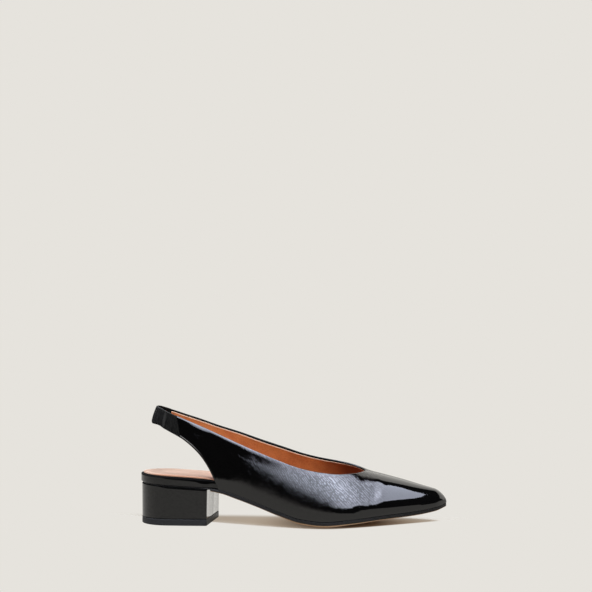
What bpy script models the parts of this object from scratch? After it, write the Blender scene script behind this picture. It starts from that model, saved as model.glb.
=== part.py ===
"""Slingback pump on a low block heel, the right shoe of a pair, built as a shoemaker puts it together.

+X runs from heel to toe, +Y to the inner side of the foot and +Z up. The floor is Z = 0 and the origin
lies under the middle of the shoe's box. Sizes are in millimetres, and stations along the shoe are in
percent of its length, both counted from the back of the heel. The meshes are made in metres.
"""

import math

import bmesh
import bpy
import numpy as np

MM = 0.001
GAP = 0.3  # clearance between pieces that meet

# Driving dimensions
LENGTH = 256.0  # back of the heel to the tip of the toe
BALL_WIDTH = 75.0  # widest place of the bottom
SEAT_HEIGHT = 34.2  # underside of the insole at the back of the heel
BALL_EDGE = 6.1  # the same line at the side of the ball, its lowest place
TOE_SPRING = 11.1  # its rise from the ball to the tip
THROAT_HEIGHT = 44.2  # top of the vamp where the opening ends
THROAT_STATION = 74.0

# Rounding of the two ends, seen from above
HEEL_ROUND = 27.0
TOE_ROUND = 10.0

# Thicknesses
WALL = 1.8  # upper with its lining
ELASTIC = 1.4
SOCK = 1.0

# Heel
BREAST = 62.4  # front face of the heel, at its medial edge
BREAST_LEAN = 2.0  # what its lateral edge stands further back
TIP_HEIGHT = 5.1
SEAT_SOLE = 1.0  # the sole's thickness between heel and seat, where it is skived

# Insets from the rim of the bottom
SOLE_INSET = 0.3
SEAT_INSET = 1.6  # the skived seat of the sole stands back, as a shadow line
HEEL_INSET = 0.8  # the heel below it, at the top
FLOOR_INSET = 1.3  # and at the floor, because it narrows a little
INSOLE_INSET = 2.4  # the insole, where the upper stands outside it
INSOLE_SHORT = 2.0  # and what it stops short of the tip
SOCK_INSET = 1.8  # the sock, from the insole's rim at the heel seat
SOCK_FRONT_INSET = 0.4  # and further forward, where it reaches the upper
SOCK_SHORT = 9.0
RIM_BEAD = 0.9  # rounding of the insole's wrapped rim

# Flat middle of the sole, as a share of its half width
FLAT_SHARE = 0.45

# Sling: the corners that end the straps and the lower and upper edge of the band at the back, all in
# millimetres from the back of the heel
CUT_END_STATION = 27.1  # where the rear edge of the quarter meets the sole
STRAP_END = {"lateral": {"low": 37.8, "high": 34.4}, "medial": {"low": 19.5, "high": 19.5}}
ANKLE_ROUND = 32.0  # where the sling starts to turn round the back
BACK_LOW = 7.7
BACK_HIGH = 12.3

# Roundness of the upper's cross-section: powers of the rise and of the spread
RISE_POWER = 2.2
SPREAD_POWER = 2.2

# Plan of the bottom: distance of each edge from the heel's centre line, percent of the ball width
OUTLINE = (
    ("station", "lateral", "medial"),
    (0.0, 36.0, 36.0),
    (15.6, 36.2, 36.0),
    (24.2, 35.4, 35.2),
    (31.2, 35.4, 32.8),
    (39.0, 37.4, 30.4),
    (47.0, 42.0, 31.8),
    (54.7, 46.6, 37.6),
    (60.5, 49.2, 43.6),
    (64.5, 50.0, 47.4),
    (69.5, 48.6, 50.0),
    (74.0, 45.0, 49.6),
    (80.0, 37.4, 45.4),
    (86.0, 28.0, 38.6),
    (91.8, 17.4, 30.0),
    (96.5, 7.6, 22.2),
    (100.0, -0.6, 15.0),
)

# Side view of the bottom: arch is percent of the drop from seat to ball, spring of the toe spring,
# dip is how far the middle hangs below the edges, and board and sole are thicknesses, in millimetres
PROFILE = (
    ("station", "arch", "spring", "dip", "board", "sole"),
    (0.0, 100.0, 0.0, 0.0, 6.6, 2.0),
    (11.7, 94.0, 0.0, 0.0, 6.8, 2.0),
    (23.4, 87.2, 0.0, 0.0, 6.6, 2.0),
    (28.1, 81.5, 0.0, 0.2, 5.8, 2.6),
    (33.0, 68.0, 0.0, 0.4, 4.6, 3.0),
    (39.0, 49.1, 0.0, 0.8, 3.2, 3.0),
    (46.9, 23.5, 0.0, 1.8, 2.4, 3.0),
    (53.5, 6.0, 0.0, 3.0, 2.2, 3.0),
    (60.5, 0.0, 0.0, 3.4, 2.2, 3.0),
    (69.1, 0.0, 16.2, 2.6, 2.2, 3.0),
    (78.5, 0.0, 39.6, 1.8, 2.0, 3.0),
    (91.0, 0.0, 61.3, 0.8, 1.8, 3.0),
    (96.0, 0.0, 77.0, 0.0, 1.4, 3.0),
    (100.0, 0.0, 100.0, 0.0, 1.0, 2.8),
)

# Sections of the upper: place of the ridge, its height in percent of the throat's, and how far the
# sides swell past the sole. Behind the throat the ridge is the top of the foot, where nothing is built
SECTIONS = (
    ("station", "ridge_y", "ridge", "swell_lateral", "swell_medial"),
    (0.0, 0.0, 320.0, 0.0, 0.0),
    (23.4, 0.0, 320.0, 0.4, 0.4),
    (31.2, 0.0, 290.0, 1.0, 2.4),
    (39.0, 0.2, 224.0, 1.5, 4.4),
    (46.9, 0.6, 192.0, 1.6, 4.4),
    (54.7, 1.2, 165.0, 1.6, 3.0),
    (62.5, 2.0, 140.0, 1.6, 1.8),
    (68.4, 2.6, 120.0, 1.5, 1.5),
    (71.5, 2.8, 108.5, 1.5, 1.5),
    (74.0, 3.0, 100.0, 1.5, 1.5),
    (80.0, 3.6, 90.5, 1.4, 1.4),
    (86.0, 4.4, 81.4, 1.2, 1.2),
    (91.8, 5.0, 71.5, 0.9, 0.9),
    (96.5, 5.6, 63.8, 0.5, 0.5),
    (100.0, 5.85, 57.7, 0.0, 0.0),
)

# Heights of the edges that the upper is cut to
TOPLINE = (
    ("station", "lateral", "medial"),
    (4.8, 96.6, 96.6),
    (6.2, 96.0, 94.8),
    (10.9, 91.5, 90.2),
    (17.6, 84.6, 84.7),
    (24.2, 77.5, 78.9),
    (31.2, 69.5, 73.0),
    (39.0, 60.9, 66.6),
    (46.9, 53.2, 60.2),
    (53.5, 47.8, 54.8),
    (59.8, 44.7, 51.1),
    (65.6, 43.4, 48.7),
    (70.3, 43.5, 46.5),
    (74.0, 44.2, 44.2),
)
REAR_CUT = (
    ("station", "height"),
    (3.0, 82.0),
    (6.3, 81.2),
    (9.4, 77.8),
    (14.5, 71.3),
    (17.8, 65.2),
    (21.1, 56.9),
    (22.8, 51.1),
    (24.5, 43.7),
    (25.8, 36.8),
    (27.1, 29.7),
)

# Number of steps that the surfaces are divided into
SOLE_STEPS = 44
HEEL_STEPS = 20
ACROSS_STEPS = 10
STRAP_STEPS = 15
QUARTER_STEPS = 18
VAMP_STEPS = 17
WALL_STEPS = 9
BAND_STEPS = 20
BAND_ROWS = 3
SIDES = {"lateral": -1, "medial": 1}


def smooth_curve(at, values):
    """Smooth curve through the points that never swings past them: a monotone cubic."""
    step = np.diff(at)
    slope = np.diff(values) / step
    tangent = np.zeros(len(at))
    tangent[0] = slope[0]
    tangent[-1] = slope[-1]
    for i in range(1, len(at) - 1):
        if slope[i - 1] * slope[i] > 0:
            before = 2 * step[i] + step[i - 1]
            after = step[i] + 2 * step[i - 1]
            tangent[i] = (before + after) / (before / slope[i - 1] + after / slope[i])

    def curve(x):
        i = int(np.clip(np.searchsorted(at, x) - 1, 0, len(step) - 1))
        t = float(np.clip((x - at[i]) / step[i], 0.0, 1.0))
        rest = 1.0 - t
        return float(
            values[i] * (1 + 2 * t) * rest**2
            + values[i + 1] * (3 - 2 * t) * t**2
            + step[i] * t * rest * (tangent[i] * rest - tangent[i + 1] * t)
        )

    return curve


def columns(table):
    """The table's columns as smooth functions of a station in millimetres."""
    names, rows = table[0], np.array(table[1:], float)
    stations = rows[:, 0] * LENGTH / 100
    return {name: smooth_curve(stations, rows[:, i]) for i, name in enumerate(names) if i}


outline = columns(OUTLINE)
profile = columns(PROFILE)
sections = columns(SECTIONS)
topline = columns(TOPLINE)
rear_cut = columns(REAR_CUT)["height"]

THROAT = THROAT_STATION * LENGTH / 100
CUT_END = CUT_END_STATION * LENGTH / 100


# The bottom of the last


def reach(x, side):
    """Distance of the bottom's edge from the heel's centre line, before the ends are rounded."""
    return outline[side](x) * BALL_WIDTH / 100


def nearness(x):
    """How near the station is to the back and to the tip: 0 where the rounding starts, 1 at the end."""
    back = max(0.0, 1 - x / HEEL_ROUND)
    front = max(0.0, 1 - (LENGTH - x) / TOE_ROUND)
    return back, front


def rounding(share):
    return math.sqrt(max(0.0, 1 - share**2))


def ramp(x, start, end):
    """0 before start, 1 after end."""
    return min(max((x - start) / (end - start), 0.0), 1.0)


def rim(x, inset, short=0.0):
    """Station, lateral edge and medial edge of the bottom, moved inwards by inset. The part ahead of
    the throat is drawn in so that it stops short of the tip."""
    back, front = nearness(x)
    lateral, medial = reach(x, "lateral"), reach(x, "medial")
    middle = (medial - lateral) / 2
    half = ((medial + lateral) / 2 - inset) * rounding(back) * rounding(front)
    at = x + inset * (back - front) - short * ramp(x, THROAT, LENGTH)
    return at, middle - half, middle + half


def edge_height(x):
    arch = profile["arch"](x) / 100 * (SEAT_HEIGHT - BALL_EDGE)
    return BALL_EDGE + arch + profile["spring"](x) / 100 * TOE_SPRING


def bed(x, y):
    """Height of the last's underside: level with the edge at the sides, flat and lower in the middle."""
    lateral, medial = reach(x, "lateral"), reach(x, "medial")
    across = abs(2 * y + lateral - medial) / (lateral + medial)
    lift = max(0.0, (across - FLAT_SHARE) / (1 - FLAT_SHARE)) ** 2
    return edge_height(x) - profile["dip"](x) * (1 - min(lift, 1.0))


# Meshes


def finish(name, mesh, color, roughness):
    """Object with its own plain material, from a bmesh in millimetres whose double points are joined."""
    bmesh.ops.remove_doubles(mesh, verts=mesh.verts, dist=1e-4)
    bmesh.ops.dissolve_degenerate(mesh, edges=mesh.edges, dist=1e-4)
    bmesh.ops.recalc_face_normals(mesh, faces=mesh.faces)
    bmesh.ops.scale(mesh, vec=(MM, MM, MM), verts=mesh.verts)
    data = bpy.data.meshes.new(name)
    mesh.to_mesh(data)
    mesh.free()
    data.shade_smooth()
    data.set_sharp_from_angle(angle=math.radians(40))
    material = bpy.data.materials.new(name)
    material.use_nodes = True
    shader = material.node_tree.nodes["Principled BSDF"]
    shader.inputs["Base Color"].default_value = (*color, 1.0)
    shader.inputs["Roughness"].default_value = roughness
    data.materials.append(material)
    piece = bpy.data.objects.new(name, data)
    bpy.context.scene.collection.objects.link(piece)
    return piece


def skin(mesh, loops, cap_first=False, cap_last=False):
    """Joins closed loops of points, one after the other, and closes the ends that are asked for."""
    rings = [[mesh.verts.new(point) for point in loop] for loop in loops]
    for ring, following in zip(rings, rings[1:]):
        for i in range(len(ring)):
            j = (i + 1) % len(ring)
            mesh.faces.new((ring[i], ring[j], following[j], following[i]))
    if cap_first:
        mesh.faces.new(rings[0])
    if cap_last:
        mesh.faces.new(rings[-1])


def stations(start, end, steps):
    """Stations that crowd towards both ends, so that round ends stay round."""
    turns = np.linspace(0, math.pi, steps + 1)
    return start + (end - start) * (1 - np.cos(turns)) / 2


def row(edges, height, lean=0.0):
    """Points across the bottom at one station, from lateral to medial, at height(x, y). lean is what the
    lateral end stands back at the heel's front face, and nothing at its round back."""
    at, lateral, medial = edges
    back = lean * max(0.0, at - HEEL_ROUND) / (BREAST - HEEL_ROUND)
    points = []
    for share in np.linspace(0, 1, ACROSS_STEPS + 1):
        x = at - back * (1 - share)
        y = lateral + (medial - lateral) * share
        points.append((x, y, height(x, y)))
    return points


def bead_points(low, high, outer, bead):
    """Points of a rounded rim, from the lower row's end up to the upper row's."""
    x, y = outer
    bead = min(bead, 0.45 * (high[2] - low[2]))
    corner = math.cos(math.radians(45))
    side_x, side_y = low[0] + (x - low[0]) * corner, low[1] + (y - low[1]) * corner
    return [
        (side_x, side_y, low[2] + bead * (1 - corner)),
        (x, y, low[2] + bead),
        (x, y, high[2] - bead),
        (side_x, side_y, high[2] - bead * (1 - corner)),
    ]


def slab(places, under, over, low_inset, high_inset, bead=0.0, short=0.0, lean=0.0, front_face=False):
    """Layer of the bottom between the heights under and over. The insets are functions of the station,
    bead is the rounding of its rim, and lean turns its front face."""
    mesh = bmesh.new()
    loops = []
    for x in places:
        lower = row(rim(x, low_inset(x) + bead, short), under, lean)
        upper = row(rim(x, high_inset(x) + bead, short), over, lean)
        lateral, medial = [], []
        if bead:
            at, lateral_y, medial_y = rim(x, low_inset(x), short)
            lateral = bead_points(lower[0], upper[0], (at, lateral_y), bead)
            medial = bead_points(lower[-1], upper[-1], (at, medial_y), bead)
        loops.append(lower + medial + upper[::-1] + lateral[::-1])
    skin(mesh, loops, cap_last=front_face)
    return mesh


def constant(value):
    return lambda x: value


# The sole, the heel and what lies on them


def sole_over(x, y):
    return bed(x, y) - GAP


def sole_under(x, y):
    """Underside of the sole, thin over the heel and flattened by the floor below the ball."""
    thickness = profile["sole"](x) if x > BREAST + GAP else SEAT_SOLE
    return max(0.0, sole_over(x, y) - thickness)


def make_outsole():
    def inset(x):
        return SOLE_INSET if x > BREAST + GAP else SEAT_INSET

    places = np.sort(np.append(stations(0, LENGTH, SOLE_STEPS), (BREAST + GAP, BREAST + 2 * GAP)))
    mesh = slab(places, sole_under, sole_over, inset, inset)
    return finish("outsole", mesh, (0.012, 0.011, 0.010), 0.5)


def heel_places():
    turn = np.linspace(0, math.pi / 2, HEEL_STEPS + 1)
    return BREAST * (1 - np.cos(turn))


def make_heel_block():
    def under(x, y):
        return TIP_HEIGHT + GAP

    def over(x, y):
        return sole_under(x, y) - GAP

    low_inset, high_inset = constant(FLOOR_INSET), constant(HEEL_INSET)
    mesh = slab(heel_places(), under, over, low_inset, high_inset, lean=BREAST_LEAN, front_face=True)
    return finish("heel_block", mesh, (0.010, 0.010, 0.011), 0.2)


def make_heel_tip():
    def under(x, y):
        return 0.0

    def over(x, y):
        return TIP_HEIGHT

    inset = constant(FLOOR_INSET)
    mesh = slab(heel_places(), under, over, inset, inset, lean=BREAST_LEAN, front_face=True)
    return finish("heel_tip", mesh, (0.014, 0.014, 0.014), 0.7)


def inside_upper(x):
    """0 at the heel seat, 1 where the upper stands outside the insole."""
    return ramp(x, 0.86 * BREAST, BREAST)


def insole_inset(x):
    """The insole is as wide as the heel seat, and further forward fits inside the upper."""
    return INSOLE_INSET * inside_upper(x)


def insole_over(x, y):
    return bed(x, y) + profile["board"](x)


def make_insole():
    places = stations(0, LENGTH, SOLE_STEPS)
    mesh = slab(places, bed, insole_over, insole_inset, insole_inset, bead=RIM_BEAD, short=INSOLE_SHORT)
    return finish("insole", mesh, (0.010, 0.010, 0.011), 0.2)


def make_sock():
    def inset(x):
        return insole_inset(x) + SOCK_INSET + (SOCK_FRONT_INSET - SOCK_INSET) * inside_upper(x)

    def under(x, y):
        return insole_over(x, y) + GAP

    def over(x, y):
        return under(x, y) + SOCK

    mesh = slab(stations(0, LENGTH, SOLE_STEPS), under, over, inset, inset, short=SOCK_SHORT)
    return finish("sock", mesh, (0.42, 0.20, 0.11), 0.6)


# The upper


def ankle_back(z):
    """Back of the ankle at a height: the sling band leans forward as it rises."""
    low_z, high_z = rear_cut(BACK_LOW), topline["lateral"](BACK_HIGH)
    return BACK_LOW + (BACK_HIGH - BACK_LOW) * (z - low_z) / (high_z - low_z)


def ankle_turn(x, z):
    """How far the wall has turned round the back of the ankle: 0 along the side, 1 at the back."""
    return min(max(0.0, (ANKLE_ROUND - x) / (ANKLE_ROUND - ankle_back(z))), 1.0)


def spread(x, rise, side, inset):
    """Distance of the wall from the ridge at a rise: 0 at the sole and 1 at the ridge."""
    foot = reach(x, side) + SIDES[side] * -sections["ridge_y"](x)
    arc = max(0.0, 1 - rise**RISE_POWER) ** (1 / SPREAD_POWER)
    swell = sections["swell_" + side](x) * math.sin(math.pi * math.sqrt(rise))
    return (foot - inset) * arc + swell


def ridge_rise(x):
    return sections["ridge"](x) / 100 * THROAT_HEIGHT - edge_height(x)


def wall_point(x, rise, side, inset):
    """Point of the upper's outside, or of its inside where inset is the wall's thickness."""
    front = nearness(x)[1]
    z = edge_height(x) + (ridge_rise(x) - inset) * rounding(front) * rise
    turn = ankle_turn(x, z)
    out = spread(x, rise, side, inset) * rounding(front) * rounding(turn)
    y = sections["ridge_y"](x) + SIDES[side] * out
    return (x + inset * (turn - front), y, z)


def rise_of(x, z):
    return min(max((z - edge_height(x)) / ridge_rise(x), 0.0), 1.0)


def wall_line(low_x, low_rise, high_x, high_rise):
    """Stations and rises from the wall's lower edge to its upper one, crowded where it turns over."""
    share = np.linspace(0, 1, WALL_STEPS + 1)
    turn = math.asin(low_rise) + (math.asin(high_rise) - math.asin(low_rise)) * share
    return list(zip(low_x + (high_x - low_x) * share, np.sin(turn)))


def strap_line(share, side):
    """Line across the strap, from its end at share 0 to where its cut edge meets the sole at 1."""
    end = STRAP_END[side]
    low_x = end["low"] + (CUT_END - end["low"]) * share
    high_x = low_x + (end["high"] - end["low"]) * (1 - share) ** 1.5
    low_rise = rise_of(low_x, rear_cut(low_x)) if share < 1 else 0.0
    return wall_line(low_x, low_rise, high_x, rise_of(high_x, topline[side](high_x)))


def quarter_line(x, side):
    return wall_line(x, 0.0, x, rise_of(x, topline[side](x)) if x < THROAT else 1.0)


def wall_loop(line, side):
    """Closed loop round the wall's thickness: up the outside and down the inside."""
    outside = [wall_point(x, rise, side, 0.0) for x, rise in line]
    inside = [wall_point(x, rise, side, WALL) for x, rise in line]
    return outside + inside[::-1]


def vamp_loop(x):
    """Closed loop over the whole vamp and back along its inside."""
    lateral = quarter_line(x, "lateral")
    over = [("lateral", rise) for _, rise in lateral]
    over += [("medial", rise) for _, rise in lateral[-2::-1]]
    outside = [wall_point(x, rise, side, 0.0) for side, rise in over]
    inside = [wall_point(x, rise, side, WALL) for side, rise in over]
    return outside + inside[::-1]


def make_upper():
    mesh = bmesh.new()
    along_strap = 1 - (1 - np.linspace(0, 1, STRAP_STEPS + 1)) ** 1.3
    along_quarter = 1 - (1 - np.linspace(0, 1, QUARTER_STEPS + 1)) ** 1.8
    for side in SIDES:
        lines = [strap_line(share, side) for share in along_strap[:-1]]
        lines += [quarter_line(CUT_END + (THROAT - CUT_END) * share, side) for share in along_quarter]
        skin(mesh, [wall_loop(line, side) for line in lines], cap_first=True)
    to_tip = np.sin(np.linspace(0, math.pi / 2, VAMP_STEPS + 1))
    skin(mesh, [vamp_loop(THROAT + (LENGTH - THROAT) * share) for share in to_tip])
    return finish("upper", mesh, (0.008, 0.008, 0.009), 0.15)


# The elastic band round the back


def band_station(share, end_x, back_x):
    """Station on the band at a share of the way from the back of the ankle to the strap's end."""
    quarter = (ANKLE_ROUND - back_x) * math.pi / 2
    if end_x < ANKLE_ROUND:
        whole = (ANKLE_ROUND - back_x) * math.acos((ANKLE_ROUND - end_x) / (ANKLE_ROUND - back_x))
    else:
        whole = quarter + end_x - ANKLE_ROUND
    way = whole * share
    if way > quarter:
        return ANKLE_ROUND + way - quarter
    return ANKLE_ROUND - (ANKLE_ROUND - back_x) * math.cos(way / (ANKLE_ROUND - back_x))


def band_line(share, side):
    """Stations and rises across the band, from its lower edge to its upper one."""
    low_x = band_station(share, STRAP_END[side]["low"] - GAP, BACK_LOW)
    high_x = band_station(share, STRAP_END[side]["high"] - GAP, BACK_HIGH)
    low_z, high_z = rear_cut(low_x), topline[side](high_x)
    line = []
    for level in np.linspace(0, 1, BAND_ROWS + 1):
        x, z = low_x + (high_x - low_x) * level, low_z + (high_z - low_z) * level
        line.append((x, rise_of(x, z)))
    return line


def band_loop(share, side):
    """Closed loop round the band's thickness."""
    line = band_line(share, side)
    outside = [wall_point(x, rise, side, 0.0) for x, rise in line]
    inside = [wall_point(x, rise, side, ELASTIC) for x, rise in line]
    return outside + inside[::-1]


def make_elastic():
    mesh = bmesh.new()
    around = np.linspace(-1, 1, BAND_STEPS + 1)
    loops = [band_loop(abs(share), "lateral" if share < 0 else "medial") for share in around]
    skin(mesh, loops, cap_first=True, cap_last=True)
    return finish("sling_elastic", mesh, (0.012, 0.012, 0.012), 0.85)


def centre(pieces):
    """Hangs the pieces on one empty that brings the middle of their box over the origin."""
    corners = np.concatenate([[v.co for v in piece.data.vertices] for piece in pieces])
    middle = (corners.min(axis=0) + corners.max(axis=0)) / 2
    shoe = bpy.data.objects.new("shoe", None)
    shoe.location = (-middle[0], -middle[1], 0.0)
    bpy.context.scene.collection.objects.link(shoe)
    for piece in pieces:
        piece.parent = shoe


def main():
    for obj in list(bpy.data.objects):
        bpy.data.objects.remove(obj, do_unlink=True)
    makers = (
        make_outsole,
        make_heel_block,
        make_heel_tip,
        make_insole,
        make_sock,
        make_upper,
        make_elastic,
    )
    centre([make() for make in makers])


main()
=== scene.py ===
"""Looks of a slingback pump on a low block heel: patent leather, tan lining, elastic sling, pale studio.

The frame's solids give the shoe's place. Sizes are in millimetres, and stations along the shoe are in
percent of its length, both counted from the back of the heel. +X runs to the toe, +Y to the inner side of
the foot and +Z up, as in the part's source, whose tables for the last are repeated here.
"""

import math

import bmesh
import bpy
import numpy as np
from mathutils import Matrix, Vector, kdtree


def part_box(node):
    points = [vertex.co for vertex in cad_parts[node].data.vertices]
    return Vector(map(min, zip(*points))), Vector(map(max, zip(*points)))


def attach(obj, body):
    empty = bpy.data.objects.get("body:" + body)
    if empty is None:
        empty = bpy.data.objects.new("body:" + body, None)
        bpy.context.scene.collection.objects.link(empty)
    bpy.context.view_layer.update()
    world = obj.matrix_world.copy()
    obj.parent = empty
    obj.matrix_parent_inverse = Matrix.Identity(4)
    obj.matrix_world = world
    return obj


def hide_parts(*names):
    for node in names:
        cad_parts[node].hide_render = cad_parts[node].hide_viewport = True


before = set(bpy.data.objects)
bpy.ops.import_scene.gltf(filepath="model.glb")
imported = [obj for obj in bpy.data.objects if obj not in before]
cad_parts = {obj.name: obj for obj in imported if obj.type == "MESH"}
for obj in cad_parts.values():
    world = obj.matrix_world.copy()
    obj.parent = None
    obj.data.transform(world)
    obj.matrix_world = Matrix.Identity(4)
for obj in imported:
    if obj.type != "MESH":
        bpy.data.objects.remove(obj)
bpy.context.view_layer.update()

MM = 0.001
GAP = 0.3  # clearance between pieces that meet

# Place of the heel's back end in the row frame
HEEL_BACK_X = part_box("insole")[0].x / MM
HEEL_MIDDLE_Y = (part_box("heel_block")[0].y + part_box("heel_block")[1].y) / 2 / MM

# Driving dimensions, as in the part's source
LENGTH = 256.0
BALL_WIDTH = 75.0
SEAT_HEIGHT = 34.2
BALL_EDGE = 6.1
TOE_SPRING = 11.1
THROAT_HEIGHT = 44.2
THROAT = 0.740 * LENGTH
CUT_END = 0.271 * LENGTH  # where the rear edge of the quarter meets the sole
HEEL_ROUND = 27.0
TOE_ROUND = 10.0
WALL = 1.8
ELASTIC = 1.4
SOCK = 1.0
BREAST = 62.4
UPPER_START = 0.86 * BREAST  # the upper comes to stand outside the insole from here to the breast
BREAST_LEAN = 2.0
TIP_HEIGHT = 5.1
SEAT_SOLE = 1.0
SOLE_INSET = 0.3
SEAT_INSET = 1.6
HEEL_INSET = 0.8
FLOOR_INSET = 1.3
INSOLE_INSET = 2.4
INSOLE_SHORT = 2.0
SOCK_INSET = 1.8
SOCK_FRONT_INSET = 0.4
SOCK_SHORT = 9.0
FLAT_SHARE = 0.45
STRAP_END = {"lateral": {"low": 37.8, "high": 34.4}, "medial": {"low": 19.5, "high": 19.5}}
ANKLE_ROUND = 32.0
BACK_LOW = 7.7
BACK_HIGH = 12.3
RISE_POWER = 2.2
SPREAD_POWER = 2.2
SIDES = {"lateral": -1, "medial": 1}

OUTLINE = (
    ("station", "lateral", "medial"),
    (0.0, 36.0, 36.0),
    (15.6, 36.2, 36.0),
    (24.2, 35.4, 35.2),
    (31.2, 35.4, 32.8),
    (39.0, 37.4, 30.4),
    (47.0, 42.0, 31.8),
    (54.7, 46.6, 37.6),
    (60.5, 49.2, 43.6),
    (64.5, 50.0, 47.4),
    (69.5, 48.6, 50.0),
    (74.0, 45.0, 49.6),
    (80.0, 37.4, 45.4),
    (86.0, 28.0, 38.6),
    (91.8, 17.4, 30.0),
    (96.5, 7.6, 22.2),
    (100.0, -0.6, 15.0),
)
PROFILE = (
    ("station", "arch", "spring", "dip", "board", "sole"),
    (0.0, 100.0, 0.0, 0.0, 6.6, 2.0),
    (11.7, 94.0, 0.0, 0.0, 6.8, 2.0),
    (23.4, 87.2, 0.0, 0.0, 6.6, 2.0),
    (28.1, 81.5, 0.0, 0.2, 5.8, 2.6),
    (33.0, 68.0, 0.0, 0.4, 4.6, 3.0),
    (39.0, 49.1, 0.0, 0.8, 3.2, 3.0),
    (46.9, 23.5, 0.0, 1.8, 2.4, 3.0),
    (53.5, 6.0, 0.0, 3.0, 2.2, 3.0),
    (60.5, 0.0, 0.0, 3.4, 2.2, 3.0),
    (69.1, 0.0, 16.2, 2.6, 2.2, 3.0),
    (78.5, 0.0, 39.6, 1.8, 2.0, 3.0),
    (91.0, 0.0, 61.3, 0.8, 1.8, 3.0),
    (96.0, 0.0, 77.0, 0.0, 1.4, 3.0),
    (100.0, 0.0, 100.0, 0.0, 1.0, 2.8),
)
SECTIONS = (
    ("station", "ridge_y", "ridge", "swell_lateral", "swell_medial"),
    (0.0, 0.0, 320.0, 0.0, 0.0),
    (23.4, 0.0, 320.0, 0.4, 0.4),
    (31.2, 0.0, 290.0, 1.0, 2.4),
    (39.0, 0.2, 224.0, 1.5, 4.4),
    (46.9, 0.6, 192.0, 1.6, 4.4),
    (54.7, 1.2, 165.0, 1.6, 3.0),
    (62.5, 2.0, 140.0, 1.6, 1.8),
    (68.4, 2.6, 120.0, 1.5, 1.5),
    (71.5, 2.8, 108.5, 1.5, 1.5),
    (74.0, 3.0, 100.0, 1.5, 1.5),
    (80.0, 3.6, 90.5, 1.4, 1.4),
    (86.0, 4.4, 81.4, 1.2, 1.2),
    (91.8, 5.0, 71.5, 0.9, 0.9),
    (96.5, 5.6, 63.8, 0.5, 0.5),
    (100.0, 5.85, 57.7, 0.0, 0.0),
)
# The inner side's edge stands up to 0.7 mm over the solid's
TOPLINE = (
    ("station", "lateral", "medial"),
    (4.8, 96.6, 96.6),
    (6.2, 96.0, 94.8),
    (10.9, 91.5, 90.2),
    (17.6, 84.6, 84.7),
    (24.2, 77.5, 78.9),
    (31.2, 69.5, 73.5),
    (39.0, 60.9, 66.9),
    (46.9, 53.2, 60.6),
    (53.5, 47.8, 55.4),
    (59.8, 44.7, 51.7),
    (65.6, 43.4, 49.4),
    (70.3, 43.5, 47.0),
    (74.0, 44.2, 44.2),
)
REAR_CUT = (
    ("station", "height"),
    (3.0, 82.0),
    (6.3, 81.2),
    (9.4, 77.8),
    (14.5, 71.3),
    (17.8, 65.2),
    (21.1, 56.9),
    (22.8, 51.1),
    (24.5, 43.7),
    (25.8, 36.8),
    (27.1, 29.7),
)

# Edges of the upper: the leather is folded over the lining along the opening and the rear cut
ROLL_OUT = 1.1  # rounding of the fold on the outside, and the rest of the wall's thickness inside
FOLD = 1.6  # how far the fold reaches down inside
REAR_FOLD = 1.6
EDGE_ZONE = 4.0  # width of the strip along the opening that has its own rows
LINING = 0.5
LINING_STEP = 0.3  # width over which the wall steps down under the lining's edge
# Depths of the lining's two faces below the upper's outside
LINING_OUTSIDE = WALL - LINING + 0.05
LINING_INSIDE = WALL + 0.1
BEAD = 0.3  # the lining's upper edge is rounded and stands proud of the fold
BEAD_WIDTH = 0.8
# How the edge of the opening bends: outwards along the strap and the quarter, inwards at the throat. The
# bevel in the table is what the fold's outer corner loses over the bevel's width
BEVEL_WIDTH = 3.4
BEVEL_LIP = 0.5  # width at the very edge over which the bevel sets in
EDGE_LEAN = (
    ("station", "out", "width", "bevel"),
    (12.0, 0.55, 9.0, 0.0),
    (15.0, 0.52, 8.5, 0.0),
    (18.0, 0.50, 8.0, 0.36),
    (22.0, 0.46, 8.0, 0.72),
    (25.0, 0.47, 8.0, 0.42),
    (29.0, 0.65, 9.0, 0.48),
    (33.6, 0.80, 9.0, 0.48),
    (40.6, 0.95, 9.0, 0.52),
    (46.0, 0.70, 9.0, 0.30),
    (53.0, 0.0, 8.0, 0.0),
    (61.0, 0.0, 6.0, 0.0),
    (65.6, -0.30, 6.0, 0.0),
    (71.0, -0.30, 6.0, 0.0),
    (74.2, 0.0, 6.0, 0.0),
)

# Creases on the outer side of the vamp, where the foot bends it: a trough and the ridge ahead of it
CREASES = (
    ("low_x", "low_z", "high_x", "high_z", "width", "height"),
    (195.4, 24.5, 197.0, 32.5, 3.5, -0.65),
    (197.4, 32.5, 198.2, 36.5, 2.3, -0.16),
    (202.6, 26.5, 203.4, 32.0, 2.6, 0.24),
)
CREASE_ENDS = (0.15, 0.85)  # shares of a crease's line between which it has its full height

# Gathers across the elastic on the outer side, by their place along the shoe
GATHERS = (
    ("x", "lean", "width", "height"),
    (17.2, -1.0, 0.9, 0.15),
    (20.2, -1.6, 1.1, -0.35),
    (23.6, -2.2, 1.2, 0.45),
    (26.6, -2.0, 1.0, -0.20),
    (29.4, -1.6, 1.2, 0.15),
)
GATHER_START = 0.08  # a gather is half a wave across the band, and this share of it is cut off below
GATHER_POWER = 0.6
GATHER_INSIDE = 0.7  # share of a gather that shows inside
BAND_LINES = 241
BAND_GAP = 0.1  # between the ends of the band and of the straps
BAND_WEAVE = 60.0  # what the weave's coordinate runs to, from the back to either strap
BAND_BULGE = 0.5
BULGE_FADE = (0.5, 0.95)  # shares of the way from the back to the strap between which it fades
BAND_DRAWN_IN = 0.9
DRAWN_SHARE = 0.2  # share of the band's width that is drawn in
SELVEDGE = 0.5  # rounding of the band's edges
RIB_PITCH = 1.05
RIB_DEPTH = 0.10
RIB_POWER = 0.7  # below 1, the ribs are broad and the grooves between them narrow
RIB_ROWS = 6
RIBS = 14


# Smooth tables


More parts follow.
